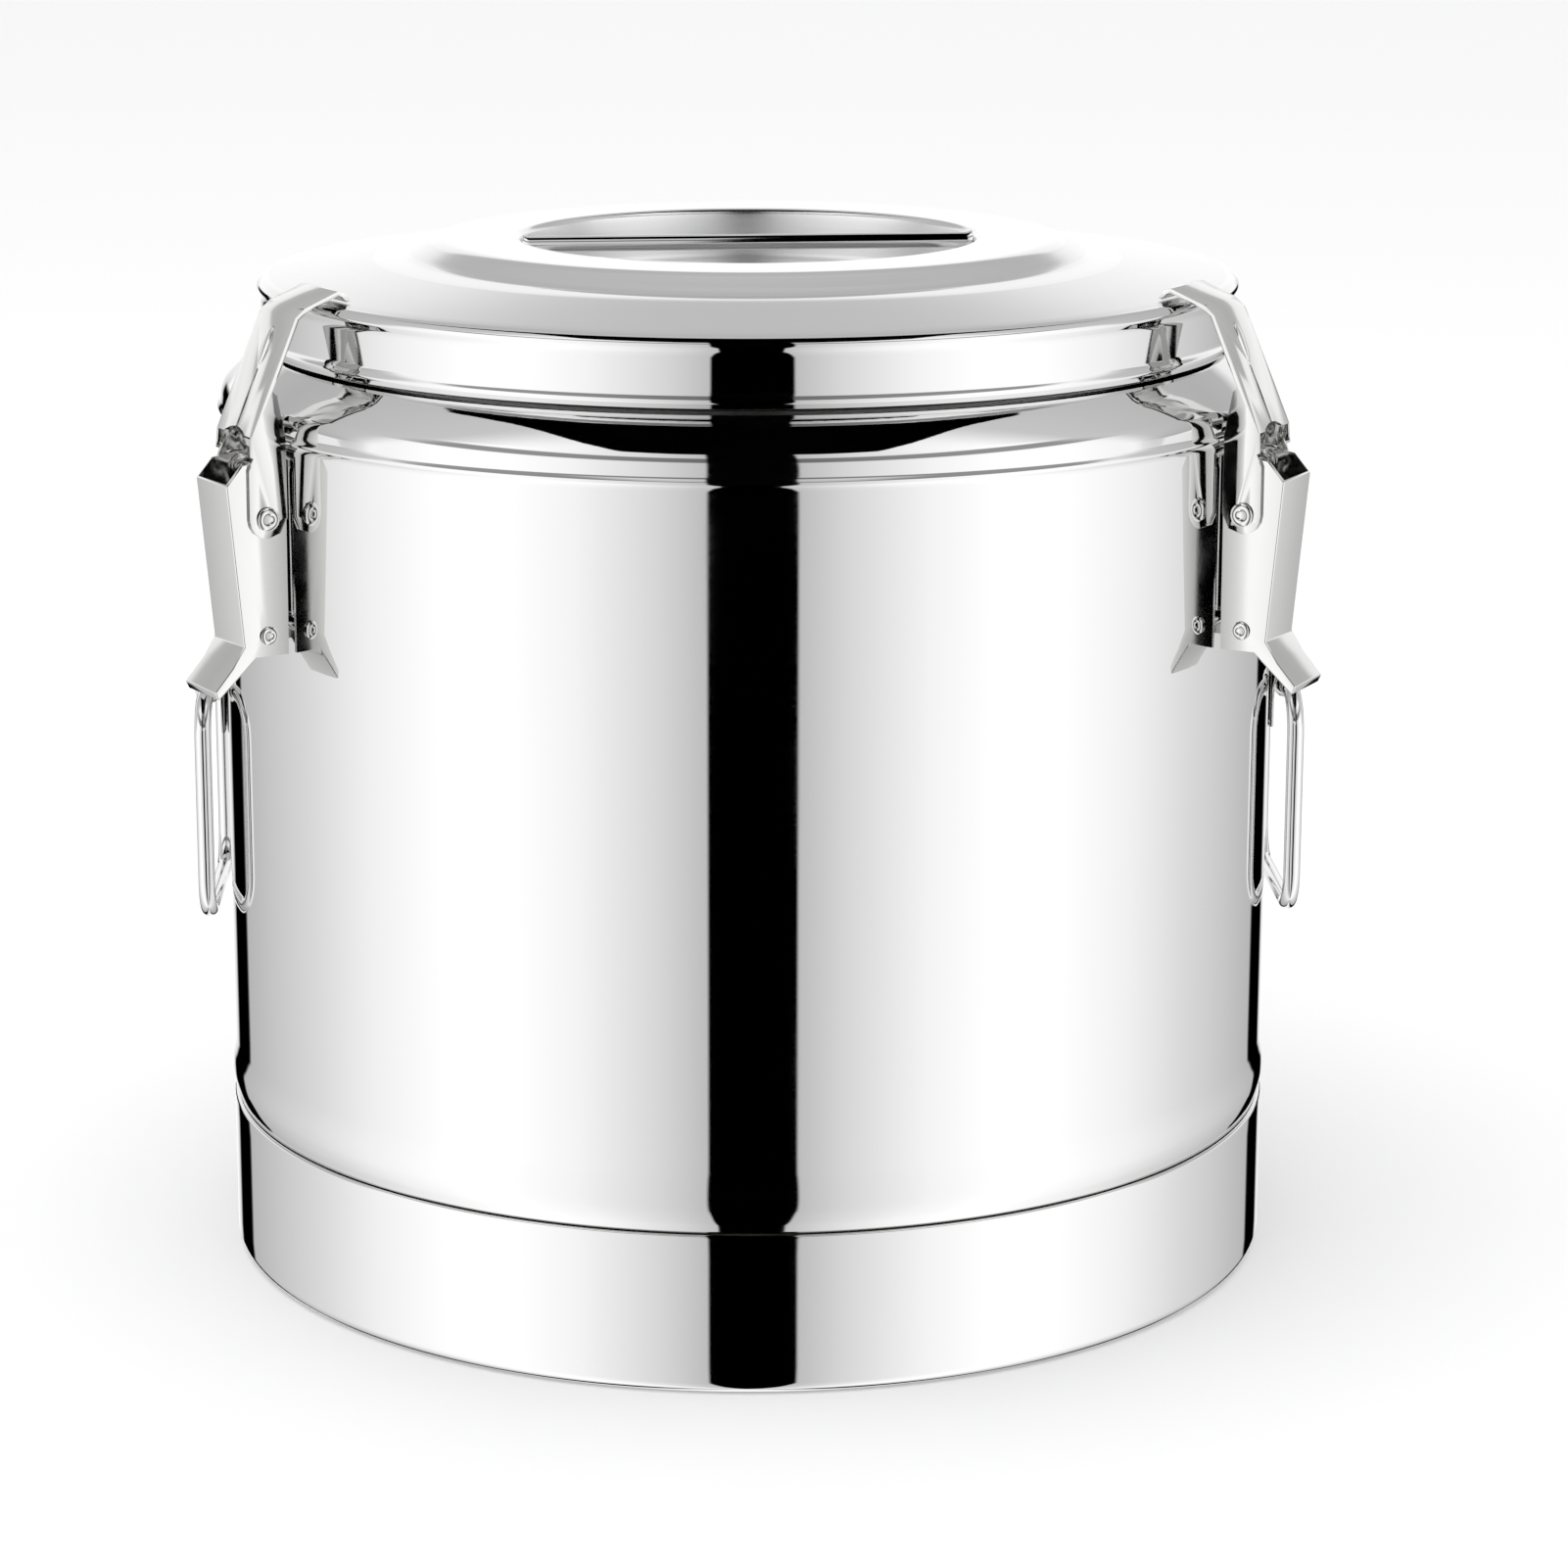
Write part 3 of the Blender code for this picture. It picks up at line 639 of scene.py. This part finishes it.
def ramp(value, stops):
    """Brightness from (degrees, level) stops, for an angle in radians."""
    made = add(tent, "ShaderNodeValToRGB", {0: compute("DIVIDE", value, pi)})
    made.color_ramp.elements.remove(made.color_ramp.elements[1])
    for number, (degrees, level) in enumerate(stops):
        place = degrees / 180
        element = made.color_ramp.elements[0] if number == 0 else made.color_ramp.elements.new(place)
        element.position, element.color = place, (level, level, level, 1.0)
    return made.outputs[0]


print("the tent's front is towards -Y")

# %% [markdown]
# The compass angle of the walls is measured so that a stripe in the tent runs
# straight down a turned piece, over its beads and bends as well as its walls.
# A mirror turned by some angle sends the view round by twice that angle, so
# the compass doubles the angle at which the steel faces. Each pair in a list
# is an angle in degrees and the brightness there.

# %% Tent walls
STRIP_CENTRE = radians(-0.4)
below = compute("MINIMUM", upwards, 0.0)
level_length = compute("SQRT", compute("SUBTRACT", 1.0, compute("MULTIPLY", below, below)))
facing = compute("ARCTAN2", across, compute("ADD", towards, level_length))
compass = compute("ABSOLUTE", compute("SUBTRACT", compute("MULTIPLY", facing, 2.0), STRIP_CENTRE))
sides = [
    (9.2, 0.0), (9.5, 0.50), (20, 0.67), (38, 0.9), (52, 1.0), (70, 1.0), (90, 0.87), (110, 0.68),
    (137, 0.49)]
low_tent = ramp(compass, sides + [(147, 0.43), (148.5, 0.0), (160.5, 0.0), (163, 0.6), (172, 0.9)])
high_tent = ramp(compass, sides + [(180, 0.45)])
print("compass stops:", len(sides))

# %% [markdown]
# Overhead, the brightness follows the angle from the front over the top to
# the back. The flag is black and lens-shaped: it is deepest in the middle and
# narrows to both sides, which draws the dark wedge under the lid.

# %% Roof, flag and gap
FLAG_NARROWING, FLAG_BACK_CURVE, GAP_DEPTH = 21.0, 1.2, 0.72
turn_over = compute("ARCTAN2", upwards, towards)
overhead = ramp(turn_over, [
    (0, 1.0), (60, 1.0), (100, 0.55), (148, 0.42), (157, 0.44), (161, 0.8), (172, 0.88)])
sideways = compute("MULTIPLY", across, across)
front_curve = compute("MULTIPLY", compute("MULTIPLY", sideways, sideways), FLAG_NARROWING)
flag_near = fade(compute("ADD", towards, front_curve), 0.40, 0.38)
flag_far = fade(compute("ADD", towards, compute("MULTIPLY", sideways, FLAG_BACK_CURVE)), -0.36, -0.33)
flag = compute("SUBTRACT", 1.0, compute("MULTIPLY", flag_near, flag_far))
gap = compute("MULTIPLY", fade(upwards, 0.50, 0.56), fade(upwards, 0.76, 0.70))
gap = compute("SUBTRACT", 1.0, compute("MULTIPLY", gap, GAP_DEPTH))
high_tent = compute("MULTIPLY", high_tent, gap)
behind = fade(towards, 0.15, -0.15)
upper = add(tent, "ShaderNodeMix", {0: behind, 2: high_tent, 3: overhead}).outputs[0]
upper = compute("MULTIPLY", upper, flag)
above = fade(upwards, 0.0, 0.1)
level = add(tent, "ShaderNodeMix", {0: above, 2: low_tent, 3: upper}).outputs[0]

# The steel sends back about four fifths of the light, so the tent is that much
# brighter than white. Only mirror rays see its pattern: the floor and the
# camera see plain white.
lit = add(tent, "ShaderNodeBackground", {"Color": level, "Strength": 1.27})
plain = add(tent, "ShaderNodeBackground", {"Color": (1.0, 1.0, 1.0, 1.0), "Strength": 1.0})
mirrored = add(tent, "ShaderNodeLightPath").outputs["Is Glossy Ray"]
either = add(tent, "ShaderNodeMixShader", {0: mirrored, 1: plain.outputs[0], 2: lit.outputs[0]})
add(tent, "ShaderNodeOutputWorld", {"Surface": either.outputs[0]})
print("tent tree has", len(tent.nodes), "nodes")

# %% [markdown]
# The floor is one large pale sheet. A wide soft lamp overhead lifts it to
# nearly white and gives the barrel a faint shadow to stand in. Neither shows
# in the steel: both are switched off for mirror rays.

# %% Floor and lamp
floor_mesh = bmesh.new()
bmesh.ops.create_grid(floor_mesh, x_segments=1, y_segments=1, size=30.0)
floor_data = bpy.data.meshes.new("studio_floor")
floor_mesh.to_mesh(floor_data)
floor_mesh.free()
floor = bpy.data.objects.new("studio_floor", floor_data)
floor.location.z = -0.2 * MM
bpy.context.scene.collection.objects.link(floor)
paper, paper_tree, paper_shader = new_finish("matt white studio paper")
paper_shader.inputs["Base Color"].default_value = linear("#F8F8F8")
paper_shader.inputs["Roughness"].default_value = 0.95
paper_shader.inputs["Specular IOR Level"].default_value = 0.1
floor_data.materials.append(paper)
floor.visible_glossy = False

lamp_data = bpy.data.lights.new("overhead softbox", "AREA")
lamp_data.shape, lamp_data.size, lamp_data.energy = "DISK", 3.0, 25.0
lamp = bpy.data.objects.new("overhead softbox", lamp_data)
lamp.location = (-0.5, -0.8, 3.0)
lamp.rotation_euler = (Vector((0, 0, 0.2)) - lamp.location).to_track_quat("-Z", "Y").to_euler()
lamp.visible_glossy = False
bpy.context.scene.collection.objects.link(lamp)
bpy.context.scene.view_settings.view_transform = "Standard"
print("lamp height:", lamp.location.z, "m")

# %% [markdown]
# ## The camera
#
# The camera stands about 1.6 m away, a little above the lid, and looks down
# on it with a long lens. It is turned a degree and a half round the barrel,
# and shifted slightly so that the barrel sits left of the middle.

# %% Camera
DISTANCE, HEIGHT, PITCH, AROUND = 1.6245, 0.5573, radians(13.4), radians(-1.5)
camera_data = bpy.data.cameras.new("camera")
camera_data.lens, camera_data.sensor_width = 104.4, 36.0
camera_data.shift_x, camera_data.shift_y = 0.0231, -0.0091
camera_data.clip_end = 100.0
camera = bpy.data.objects.new("camera", camera_data)
camera.location = (DISTANCE * sin(AROUND), -DISTANCE * cos(AROUND), HEIGHT)
camera.rotation_euler = (pi / 2 - PITCH, 0.0, AROUND)
bpy.context.scene.collection.objects.link(camera)
bpy.context.scene.camera = camera
print("camera at", [round(x, 3) for x in camera.location])
